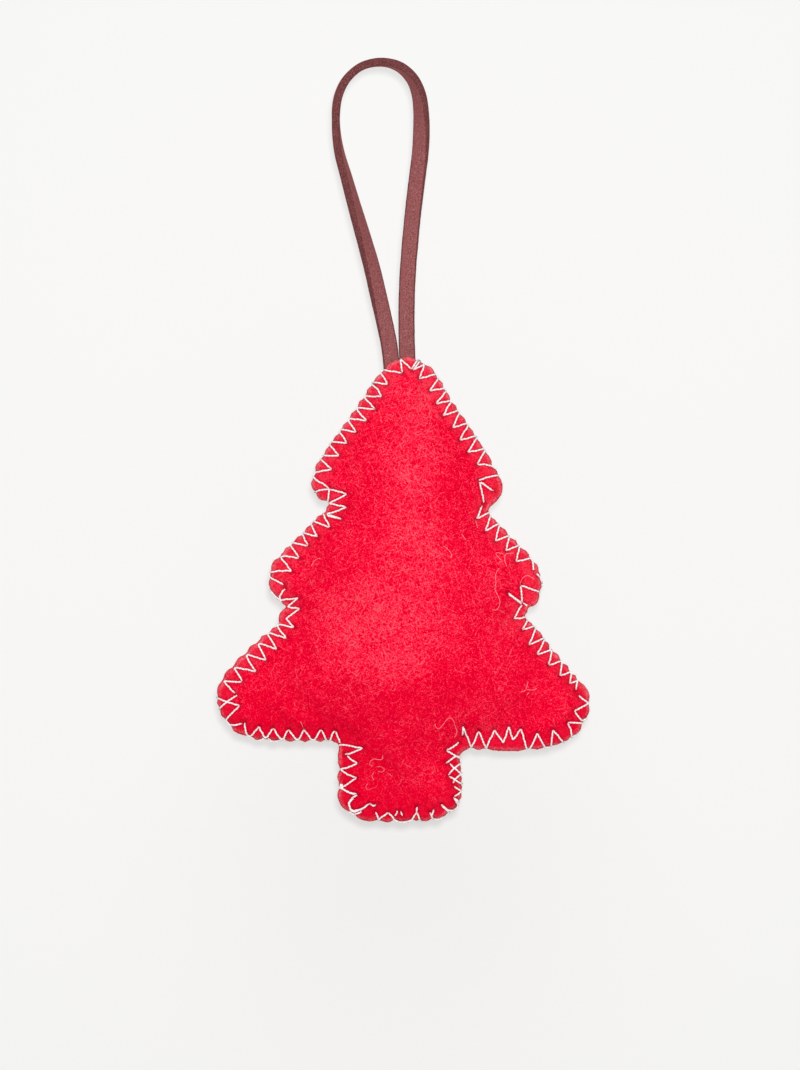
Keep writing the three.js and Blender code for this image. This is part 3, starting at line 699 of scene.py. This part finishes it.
def triangulate(border, inner):  # a flat triangle mesh of the border and the points inside it
    points = [Vector(p) for p in np.concatenate([border, inner])]
    count = len(border)
    loop = [(i, (i + 1) % count) for i in range(count)]
    made = geometry.delaunay_2d_cdt(points, loop, [list(range(count))], 1, 1e-6)
    return np.array([list(p) for p in made[0]]), np.array([f for f in made[2] if len(f) == 3])


def smoothed(values, faces, rounds, held):  # values on a mesh's points, evened out with their neighbours'
    sides = np.concatenate([faces[:, [0, 1]], faces[:, [1, 2]], faces[:, [2, 0]]])
    one, two = np.unique(np.sort(sides, axis=1), axis=0).T
    count = np.bincount(one, minlength=len(values)) + np.bincount(two, minlength=len(values))
    for _ in range(rounds):
        total = np.bincount(one, values[two], len(values)) + np.bincount(two, values[one], len(values))
        values = np.where(held, values, 0.5 * values + 0.5 * total / np.maximum(count, 1))
    return values


# The felt skin as a cloth, made larger than it is because a large cloth behaves better.
skinCloth = {
    "quality": 7,
    "mass": 0.4,
    "air_damping": 2,
    "tension_stiffness": 25,
    "compression_stiffness": 25,
    "shear_stiffness": 20,
    "bending_stiffness": 6,
    "vertex_group_mass": "seam",
    "shrink_min": -0.045,
    "use_pressure": True,
    "uniform_pressure_force": 6,
}
skinLarger, skinFrames = 20, 36


def stuffedSkin(points, faces, depth):  # a felt skin held at the seam and pressed out by the filling
    mesh = bpy.data.meshes.new("stuffedSkin")
    mesh.from_pydata([(x * mm * skinLarger, 0, z * mm * skinLarger) for x, z in points], [], faces.tolist())
    skin = inScene("stuffedSkin", mesh)
    if mesh.polygons[0].normal.y > 0:
        mesh.flip_normals()
    held = skin.vertex_groups.new(name="seam")
    for i, deep in enumerate(depth):
        hold = float(np.clip((panel["rim"] + 0.4 - deep) / 0.8, 0, 1))
        if hold > 0:
            held.add([i], hold, "REPLACE")
    cloth = skin.modifiers.new("Cloth", "CLOTH")
    for name, value in skinCloth.items():
        setattr(cloth.settings, name, value)
    cloth.settings.effector_weights.gravity = 0
    cloth.point_cache.frame_end = skinFrames + 4
    for number in range(1, skinFrames + 1):
        scene.frame_set(number)
    shown = skin.evaluated_get(bpy.context.evaluated_depsgraph_get())
    moved = np.array([v.co for v in shown.data.vertices]) / (mm * skinLarger)
    bpy.data.objects.remove(skin)
    scene.frame_set(1)
    rise = np.clip(-moved[:, 1], 0, None)
    print("stuffed skin rises", round(rise.max(), 2), "mm")
    even = smoothed(rise, faces, panel["evenRounds"], depth < 0.3) * np.clip((depth - 2.2) / 2.6, 0, 1)
    rise = np.maximum(rise, even * panel["evenShare"])
    moved[:, 1] = -rise * (panel["crown"] / rise.max())
    return moved


coarsePoints, coarseFaces = triangulate(edge[::7], hexGrid(panel["coarse"], panel["coarse"] * 0.7))
rings = [edgeRing(inset, 1, 0.9) for inset in panel["edgeRings"]]
finePoints, fineFaces = triangulate(edge, np.concatenate([*rings, hexGrid(panel["cell"], panel["cellsFrom"])]))
fineDepth, fineNearest = insideDepth(finePoints)
print("felt outline", len(finePoints), "points,", len(fineFaces), "triangles")
skin = stuffedSkin(coarsePoints, coarseFaces, insideDepth(coarsePoints)[0])
stuffed = BVHTree.FromPolygons([Vector(p) for p in skin], coarseFaces.tolist())


def skinRise(points, faces, depth, rounds):  # how far the stuffed skin stands out over each point
    rise = np.zeros(len(points))
    for i, (x, z) in enumerate(points):
        hit = stuffed.ray_cast(Vector((x, -30, z)), Vector((0, 1, 0)))
        if hit[0] is not None:
            rise[i] = -hit[0].y
    return smoothed(rise, faces, rounds, depth < 0.3)


def uneven(points, size, seed):  # smooth noise on flat points, a wave of some millimetres
    return np.array([noise.noise(Vector((x / size, seed, z / size))) for x, z in points])


# Where the needle went through the felt, and where the thread goes over its edge.
allLines = [fromPhoto(line) for group in (firstPassLines, closingLines) for line in group.values()]
linePoints = np.concatenate(allLines)
lineDepth = insideDepth(linePoints)[0]
lineEnds = np.concatenate([[True] + [False] * (len(line) - 2) + [True] for line in allLines])
deeper = (lineDepth > np.roll(lineDepth, 1)) & (lineDepth > np.roll(lineDepth, -1))
needleHoles = linePoints[(lineDepth > 1.0) & (deeper | lineEnds)]
edgeTurns, turnDepth = linePoints[lineDepth < 0.95], np.clip(lineDepth[lineDepth < 0.95], 0, 1)
print(len(needleHoles), "needle holes,", len(edgeTurns), "turns over the edge")

seatOfLace = {"x": (-0.35, 6.25), "z": (-62.8, -54), "push": 0.78, "soft": 1.6}


def nearSeat(points):  # 1 over the lace's two ends, fading out around them
    share = np.ones(len(points))
    for k, (low, high) in enumerate((seatOfLace["x"], seatOfLace["z"])):
        out = np.clip(np.maximum(low - points[:, k], points[:, k] - high) / seatOfLace["soft"], 0, 1)
        share *= 1 - out**2 * (3 - 2 * out)
    return share


def feltFaces(points, faces, depth, crown, seed):  # how far the felt's two faces are from the seam
    rise = skinRise(points, faces, depth, 14) * crown
    along = np.clip(depth / panel["edgeRound"], 0, 1)
    thick = panel["thickness"] * np.sqrt(np.clip(1 - (1 - along)**2, 0, 1))
    groove = panel["groove"] * hill(distanceToLines(points, allLines), panel["grooveWide"])
    groove *= np.clip(along * 1.4, 0, 1)
    hole = panel["hole"] * hill(gapsTo(points, needleHoles).min(1), panel["holeWide"])
    wave = panel["wave"] * uneven(points, panel["waveSize"], seed) \
        * hill(depth - panel["rim"], panel["waveWide"]) * np.clip(depth / 1.5, 0, 1)
    large, small = (uneven(points, size, seed + more) for size, more in zip(panel["lumpSizes"], (5, 9)))
    lump = panel["lump"] * (large + 0.5 * small) * np.clip(depth / 3, 0, 1)
    push = seatOfLace["push"] * nearSeat(points) + panel["seamGap"]
    outer = push + thick + rise + wave + lump - groove - hole
    return np.maximum(push + thick * panel["thinnest"], outer), push + rise


def scalloped(points, depth, nearest):  # the edge drawn in at each turn of the thread, full between them
    turned = hill(gapsTo(points, edgeTurns), panel["scallopWide"]) * (turnDepth + panel["scallop"])
    ragged = panel["ragged"] * (uneven(points, 0.45, 31) + uneven(points, 1.1, 37))
    pull = (turned.max(1) - panel["bulge"] + ragged) * np.clip(1 - depth / panel["scallopDeep"], 0, 1)
    return points - edgeNormal[nearest] * pull[:, None]


def closedShell(name, border, outer, inner):  # two sheets with a wall round them: flat points, heights, faces
    first = len(outer[0])
    points = [np.stack([flat[:, 0], height, flat[:, 1]], axis=1) for flat, height, _ in (outer, inner)]
    walls = [(i, first + i, first + (i + 1) % border, (i + 1) % border) for i in range(border)]
    faces = outer[2].tolist() + (inner[2][:, ::-1] + first).tolist() + walls
    made = meshObject(name, np.concatenate(points), faces)
    facesOut(made)
    return made


innerPoints, innerFaces = triangulate(edge, hexGrid(panel["innerCell"], panel["innerCell"] / 2))
innerDepth, innerNearest = insideDepth(innerPoints)
# where painted shadow darkens the felt: beside the thread and round the needle holes
fineThreadShadows = np.clip(hill(distanceToLines(finePoints, allLines), 0.34) * 0.8
                      + hill(gapsTo(finePoints, needleHoles).min(1), 0.5) * 0.35, 0, 1)


def feltPanel(name, side, crown, seed):  # side is -1 at the front and 1 at the back
    outer, _ = feltFaces(finePoints, fineFaces, fineDepth, crown, seed)
    _, inner = feltFaces(innerPoints, innerFaces, innerDepth, crown, seed)
    made = closedShell(name, len(edge),
                       (scalloped(finePoints, fineDepth, fineNearest), side * outer, fineFaces),
                       (scalloped(innerPoints, innerDepth, innerNearest), side * inner, innerFaces))
    for shade, values in (("deepIn", fineDepth), ("paintedThreadShadow", fineThreadShadows)):
        addShade(made, shade, np.concatenate([values, np.zeros(len(innerPoints))]))
    return made


frontFelt = feltPanel("FrontFelt", -1, 1.0, 3.7)
backFelt = feltPanel("BackFelt", 1, 0.94, 21.3)
redFelt = feltMaterial()
for felted in (frontFelt, backFelt):
    felted.data.materials.append(redFelt)
print("felt panels", len(frontFelt.data.polygons), "faces each")


def outerFace(felted, side):  # the felt's surface, to lay things on
    mesh = felted.data
    faces = [list(face.vertices) for face in mesh.polygons if face.normal.y * side > 0.02]
    return BVHTree.FromPolygons([v.co / mm for v in mesh.vertices], faces)


faceOf = {-1: outerFace(frontFelt, -1), 1: outerFace(backFelt, 1)}


def onFelt(x, z, side, rest):  # the place that lies so high over the felt, before a flat point
    place, facing, _, _ = faceOf[side].ray_cast(Vector((x, side * 30, z)), Vector((0, -side, 0)))
    if place is None:
        place, facing, _, _ = faceOf[side].find_nearest(Vector((x, side * 0.35, z)))
    return list(place + facing * (rest if facing.y * side > 0 else -rest))


thread = {
    "radius": 0.168,
    "lobe": 0.14,
    "twist": 5.2,
    "sides": 9,
    "step": 0.17,
    "rest": 0.15,
    "crossing": 0.24,
    "dive": 0.5,
    "diveWide": 0.26,
    "wobble": 0.05,
    "wobbleSize": 1.2,
    "colour": rgb(255, 252, 251),
    "shade": rgb(246, 234, 234),
}


def threadRoute(line, side, rest, seed):  # one strand, laid over the felt from hole to edge to hole
    route = evenLine(line, thread["step"])
    if side > 0:
        shift = [uneven(route, thread["wobbleSize"], seed + more) for more in (0, 4)]
        route = route + thread["wobble"] * np.stack(shift, axis=1)
    dive = thread["dive"] * hill(gapsTo(route, needleHoles).min(1), thread["diveWide"])
    points = np.array([onFelt(x, z, side, rest - deep) for (x, z), deep in zip(route, dive)])
    for _ in range(2):
        points[1:-1] = (points[:-2] + 2 * points[1:-1] + points[2:]) / 4
    return points


def nodesTree(name, inputs):  # a nodes tree with named inputs, each of a kind and with a value
    tree = bpy.data.node_groups.new(name, "GeometryNodeTree")
    for label, (kind, value) in inputs.items():
        socket = tree.interface.new_socket(name=label, in_out="INPUT", socket_type="NodeSocket" + kind)
        if value is not None:
            socket.default_value = value
    tree.interface.new_socket(name="Made", in_out="OUTPUT", socket_type="NodeSocketGeometry")
    maker = Maker(tree)
    return tree, maker, maker.node("NodeGroupInput").outputs


def closeTree(m, shape, finish):  # its last nodes: real faces in their material
    whole = m.node("GeometryNodeRealizeInstances", Geometry=shape)
    done = m.node("GeometryNodeSetMaterial", Geometry=whole, Material=finish)
    m.node("NodeGroupOutput", Made=done)


def twistedThreadTree():
    tree, m, given = nodesTree("Twisted thread", {
        "Strands": ("Geometry", None), "Radius": ("Float", thread["radius"] * mm),
        "Lobe": ("Float", thread["lobe"]), "Twist": ("Float", thread["twist"] / mm),
        "Sides": ("Int", thread["sides"]), "Finish": ("Material", None)})
    lobe = Wire(m, given["Lobe"])
    along = m.wire(m.node("GeometryNodeSplineParameter"), "Length")
    curves = m.node("GeometryNodeMeshToCurve", Mesh=given["Strands"])
    tilted = m.node("GeometryNodeSetCurveTilt", Curve=curves, Tilt=along * Wire(m, given["Twist"]))
    ring = m.node("GeometryNodeCurvePrimitiveCircle", Resolution=given["Sides"], Radius=given["Radius"])
    x, y, _ = m.parts(m.node("GeometryNodeInputPosition"))
    oval = m.vector(x * (lobe + 1), y * (1 - lobe))
    section = m.node("GeometryNodeSetPosition", Geometry=ring, Position=oval)
    tube = m.node("GeometryNodeCurveToMesh", Curve=tilted, Profile_Curve=section, Fill_Caps=True)
    closeTree(m, tube, given["Finish"])
    return tree


def grown(name, source, tree, values):  # what a nodes tree makes of an object, as a plain mesh
    modifier = source.modifiers.new("Grow", "NODES")
    modifier.node_group = tree
    for socket in tree.interface.items_tree:
        if socket.in_out == "INPUT" and socket.name in values:
            modifier[socket.identifier] = values[socket.name]
    shown = source.evaluated_get(bpy.context.evaluated_depsgraph_get())
    mesh = bpy.data.meshes.new_from_object(shown)
    mesh.polygons.foreach_set("use_smooth", [True] * len(mesh.polygons))
    bpy.data.meshes.remove(source.data)
    mesh.name = name
    print(name, len(mesh.polygons), "faces")
    return inScene(name, mesh)


def threadMaterial():
    material, m = newMaterial("white sewing thread")
    place = m.place()
    share = m.fade(m.speckle(place, 0.35), 0.35, 0.65)
    m.relief(m.speckle(place, 0.09), 0.3, 0.03)
    m.finish(Base_Color=m.mix(share, thread["shade"], thread["colour"]), Roughness=0.6)
    return material


whiteThread = threadMaterial()
twisted = twistedThreadTree()


def sewnThread(name, lines, side, rest):
    routes = [threadRoute(fromPhoto(line), side, rest, k * 1.7) for k, line in enumerate(lines.values())]
    return grown(name, edgeObject(name, routes), twisted, {"Finish": whiteThread})


threads = {
    "needle_thread": sewnThread("NeedleThread", firstPassLines, -1, thread["rest"]),
    "bobbin_thread": sewnThread("BobbinThread", firstPassLines, 1, thread["rest"]),
    "closing_needle_thread": sewnThread("ClosingNeedleThread", closingLines, -1, thread["crossing"]),
    "closing_bobbin_thread": sewnThread("ClosingBobbinThread", closingLines, 1, thread["crossing"]),
}

filling = {
    "inset": 3.7,
    "cell": 2.2,
    "clear": 0.4,
    "back": 0.93,
    "streak": (1.6, 0.4, 0.4),
    "shade": rgb(222, 220, 214),
    "light": rgb(250, 249, 246),
}


def fillingBody():  # the loose fibre filling, hidden between the panels
    ring = edgeRing(filling["inset"], 8, 0.97)
    flat, faces = triangulate(ring, hexGrid(filling["cell"], filling["inset"] + 1))
    rise = np.maximum(skinRise(flat, faces, insideDepth(flat)[0], 1) - filling["clear"], 0.02)
    rise[:len(ring)] = 0.01
    return closedShell("FibreFilling", len(ring), (flat, -rise, faces), (flat, rise * filling["back"], faces))


def fillingMaterial():
    material, m = newMaterial("loose fibre filling")
    tangle = m.stretched(m.place(), (0.4, 0.7, 0.2), filling["streak"])
    m.relief(tangle, 0.6, 0.4)
    m.finish(Base_Color=m.mix(m.fade(tangle, 0.35, 0.7), filling["shade"], filling["light"]), Roughness=0.95)
    return material


stuffing = fillingBody()
stuffing.data.materials.append(fillingMaterial())

nap = {
    "count": 13800,
    "length": 0.85,
    "radius": 0.019,
    "taper": 0.75,
    "lean": 1.3,
    "leanSpread": (0.72, 1.2),
    "sizes": (0.5, 1.35),
    "shortAtEdge": (0.2, 1.6),
    "shortest": 0.65,
    "seed": 4,
    "dull": rgb(232, 0, 38),
    "bright": rgb(255, 70, 92),
    # the paler fuzz at the felt's edge, partly painted light
    "rim": rgb(252, 150, 160),
}


def napTree():  # one tapered, bent fibre, copied over the felt with its own turn, lean and size
    tree, m, given = nodesTree("Felt nap", {
        "Felt": ("Geometry", None), "Per Area": ("Float", None), "Length": ("Float", nap["length"] * mm),
        "Lean": ("Float", nap["lean"]), "Seed": ("Int", nap["seed"]), "Finish": ("Material", None)})
    length, lean = Wire(m, given["Length"]), Wire(m, given["Lean"])
    spots = m.node("GeometryNodeDistributePointsOnFaces", Mesh=given["Felt"], Density=given["Per Area"],
                   Seed=given["Seed"])
    bent = m.node("GeometryNodeCurveQuadraticBezier", Resolution=2, Start=(0, 0, 0),
                  Middle=m.vector(y=length * 0.05, z=length * 0.5),
                  End=m.vector(length * 0.12, length * 0.3, length * 0.9))
    thinner = 1 - m.wire(m.node("GeometryNodeSplineParameter"), "Factor") * nap["taper"]
    ring = m.node("GeometryNodeCurvePrimitiveCircle", Resolution=3, Radius=nap["radius"] * mm)
    bent = m.node("GeometryNodeSetCurveRadius", Curve=bent, Radius=thinner)
    fibre = m.node("GeometryNodeCurveToMesh", Curve=bent, Profile_Curve=ring, Scale=thinner, Fill_Caps=True)
    spin = m.random(0, 2 * math.pi, given["Seed"])
    tip = m.random(*(lean * share for share in nap["leanSpread"]), 7)
    facing = spots.outputs["Rotation"]
    for turn in (m.vector(z=spin), m.vector(x=tip)):
        facing = m.node("FunctionNodeRotateRotation", {"rotation_space": "LOCAL"}, Rotation=facing,
                        Rotate_By=turn)
    deepIn = m.wire(m.node("GeometryNodeInputNamedAttribute", {"data_type": "FLOAT"}, Name="deepIn"))
    shorter = m.fade(deepIn, *nap["shortAtEdge"]) * (1 - nap["shortest"]) + nap["shortest"]
    spread = m.node("GeometryNodeInstanceOnPoints", Points=spots, Instance=fibre, Rotation=facing,
                    Scale=m.random(*nap["sizes"], 11) * shorter)
    closeTree(m, spread, given["Finish"])
    return tree


napFinish = napMaterial("red wool nap", nap["dull"], nap["bright"], nap["rim"])
napNodes = napTree()


def feltNap(name, felted, side, seed):
    outside = inScene(name, felted.data.copy())
    shape = bmesh.new()
    shape.from_mesh(outside.data)
    turned = [face for face in shape.faces if face.normal.y * side < 0.05]
    bmesh.ops.delete(shape, geom=turned, context="FACES")
    area = sum(face.calc_area() for face in shape.faces)
    shape.to_mesh(outside.data)
    shape.free()
    return grown(name, outside, napNodes, {"Per Area": nap["count"] / area, "Seed": seed, "Finish": napFinish})


frontNap = feltNap("FrontNap", frontFelt, -1, nap["seed"])
backNap = feltNap("BackNap", backFelt, 1, nap["seed"] + 1)

# Loose pale fibres that lie on the front, as the photo shows them: pixels.
looseFibres = [
    [(443, 546), (447, 549), (451, 555), (450, 558)], [(502, 553.5), (495, 553), (497, 556.5), (500.5, 560)],
    [(513, 553), (505, 554.5), (504, 561), (506, 566)], [(461, 534), (465, 540)], [(475, 520), (477, 528)],
    [(498.5, 568), (495.5, 572), (494.5, 577), (495, 582), (494, 589), (497, 595), (499, 600.5), (498, 606),
     (495, 609.5), (491, 609)],
    [(519.5, 585), (520.5, 580.5), (523, 577), (526.5, 575.2), (530, 576.5), (534, 579)],
    [(527, 680.5), (526, 685), (525.3, 688), (529, 689), (533, 689), (536, 687.5)],
    [(520, 690.8), (523, 690), (525, 688.6)], [(526, 694), (528, 691.6)],
    [(434.5, 722), (435.5, 725.5), (438.5, 727), (442, 723.5), (446, 718), (449.5, 715.8), (453, 719),
     (454.5, 724.5), (456.5, 730), (455.5, 734), (454, 736.5)],
    [(312, 566), (316, 560), (321, 558)], [(301, 720), (303, 725), (304.5, 729)],
    [(383, 754), (382.5, 757.5), (378, 758), (374, 757.5), (370.5, 760.5), (370, 763), (373, 765)],
    [(377, 765.5), (382, 765.5), (384.5, 768), (383, 770.5), (378, 770)],
    [(374, 771.5), (372, 774.5), (374, 779)],
    [(368, 782.5), (366, 785.5), (367.5, 789)], [(389, 772), (392, 775)],
]
paleFibre = {"radius": 0.042, "rest": 0.08, "colour": rgb(255, 104, 122), "light": rgb(255, 166, 174)}


def paleFibres(name, lines, side):
    routes = [[onFelt(x, z, side, paleFibre["rest"]) for x, z in smoothLine(fromPhoto(line), 0.3)]
              for line in lines]
    wool = napMaterial(name + " wool", paleFibre["colour"], paleFibre["light"], paleFibre["light"])
    return grown(name, edgeObject(name, routes), twisted,
                 {"Radius": paleFibre["radius"] * mm, "Lobe": 0.1, "Sides": 5, "Finish": wool})


frontFibres = paleFibres("LooseFibres", looseFibres, -1)

# What stands behind: a pale wall, even light all round, a large soft light and a small one from the front.
studio = {
    "background": rgb(243.5, 244, 242),
    "around": (1, 0.995, 0.99, 1),
    "ambient": 0.42,
    "wallBehind": 100,
    "wallMiddle": (3.4, -88),
    "wallSize": (330, 330),
    "wallSolid": (115, 160),
    "wallGlow": 0.525,
    "wallPaint": 0.48,
    "key": {"place": (10, -600, 290), "size": 560, "power": 1.37},
    "faceOn": {"place": (5.4, -473, -81), "size": 8, "power": 1.25},
    "aim": (4, 0, -90),
}


def setWorld():  # the camera and shiny things see the background, the rest its even light
    world = scene.world = bpy.data.worlds.new("Studio")
    world.use_nodes = True
    m = Maker(world.node_tree)
    background = next(n for n in m.tree.nodes if n.type == "BACKGROUND")
    rays = m.node("ShaderNodeLightPath")
    camera, glossy, clear = (m.wire(rays, f"Is {ray} Ray") for ray in ("Camera", "Glossy", "Transmission"))
    seen = m.math("MAXIMUM", m.math("MAXIMUM", camera, glossy), clear)
    m.fill(background, {"Color": m.mix(seen, studio["around"], studio["background"]),
                        "Strength": seen * (1 - studio["ambient"]) + studio["ambient"]})


def areaLight(name, light):
    data = bpy.data.lights.new(name, "AREA")
    data.shape = "DISK"
    data.size = light["size"] * mm
    data.energy = light["power"]
    made = inScene(name, data)
    made.location = [v * mm for v in light["place"]]
    toward = Vector(studio["aim"]) - Vector(light["place"])
    made.rotation_euler = toward.to_track_quat("-Z", "Y").to_euler()


def wallMaterial():  # see-through at its borders and from behind
    material, m = newMaterial("pale wall")
    m.tree.nodes.clear()
    paint = m.node("ShaderNodeBsdfDiffuse", Color=[studio["wallPaint"]] * 3 + [1])
    glow = m.node("ShaderNodeEmission", Color=studio["background"], Strength=studio["wallGlow"])
    lit = m.feedByNumber(m.node("ShaderNodeAddShader"), {0: paint, 1: glow})
    x, _, z = m.parts(m.place())
    across, up = (m.math("ABSOLUTE", part - middle * mm) for part, middle in zip((x, z), studio["wallMiddle"]))
    bare = m.fade(m.math("MAXIMUM", across, up), *(far * mm for far in studio["wallSolid"]))
    clear = m.math("MAXIMUM", bare, m.wire(m.node("ShaderNodeNewGeometry"), "Backfacing"))
    mixed = m.feedByNumber(m.node("ShaderNodeMixShader"),
                           {0: clear, 1: lit, 2: m.node("ShaderNodeBsdfTransparent")})
    m.node("ShaderNodeOutputMaterial", Surface=mixed)
    return material


def wall():
    (x, z), (wide, tall), y = studio["wallMiddle"], studio["wallSize"], studio["wallBehind"]
    corners = [(x + a * wide / 2, y, z + b * tall / 2) for a, b in ((-1, -1), (1, -1), (1, 1), (-1, 1))]
    made = meshObject("Backdrop", corners, [(0, 1, 2, 3)], smooth=False)
    made.data.materials.append(wallMaterial())
    return made


setWorld()
areaLight("Key", studio["key"])
areaLight("FaceOn", studio["faceOn"])
backdrop = wall()
scene.view_settings.view_transform = "Standard"
print("studio set")

# What each piece moves with and stands for.
lace["width"] * mm
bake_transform(laceObject)
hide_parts("hanging_lace_loop", "lace_tail_left", "lace_tail_right")
for felted, node in ((frontFelt, "front_felt_panel"), (backFelt, "back_felt_panel")):
    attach(felted, "tree")
    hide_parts(node)
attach(stuffing, "tree")
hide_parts("fibre_filling")
for node, sewn in threads.items():
    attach(sewn, "tree")
    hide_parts(node)
for tuft in (frontNap, backNap, frontFibres):
    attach(tuft, "tree")
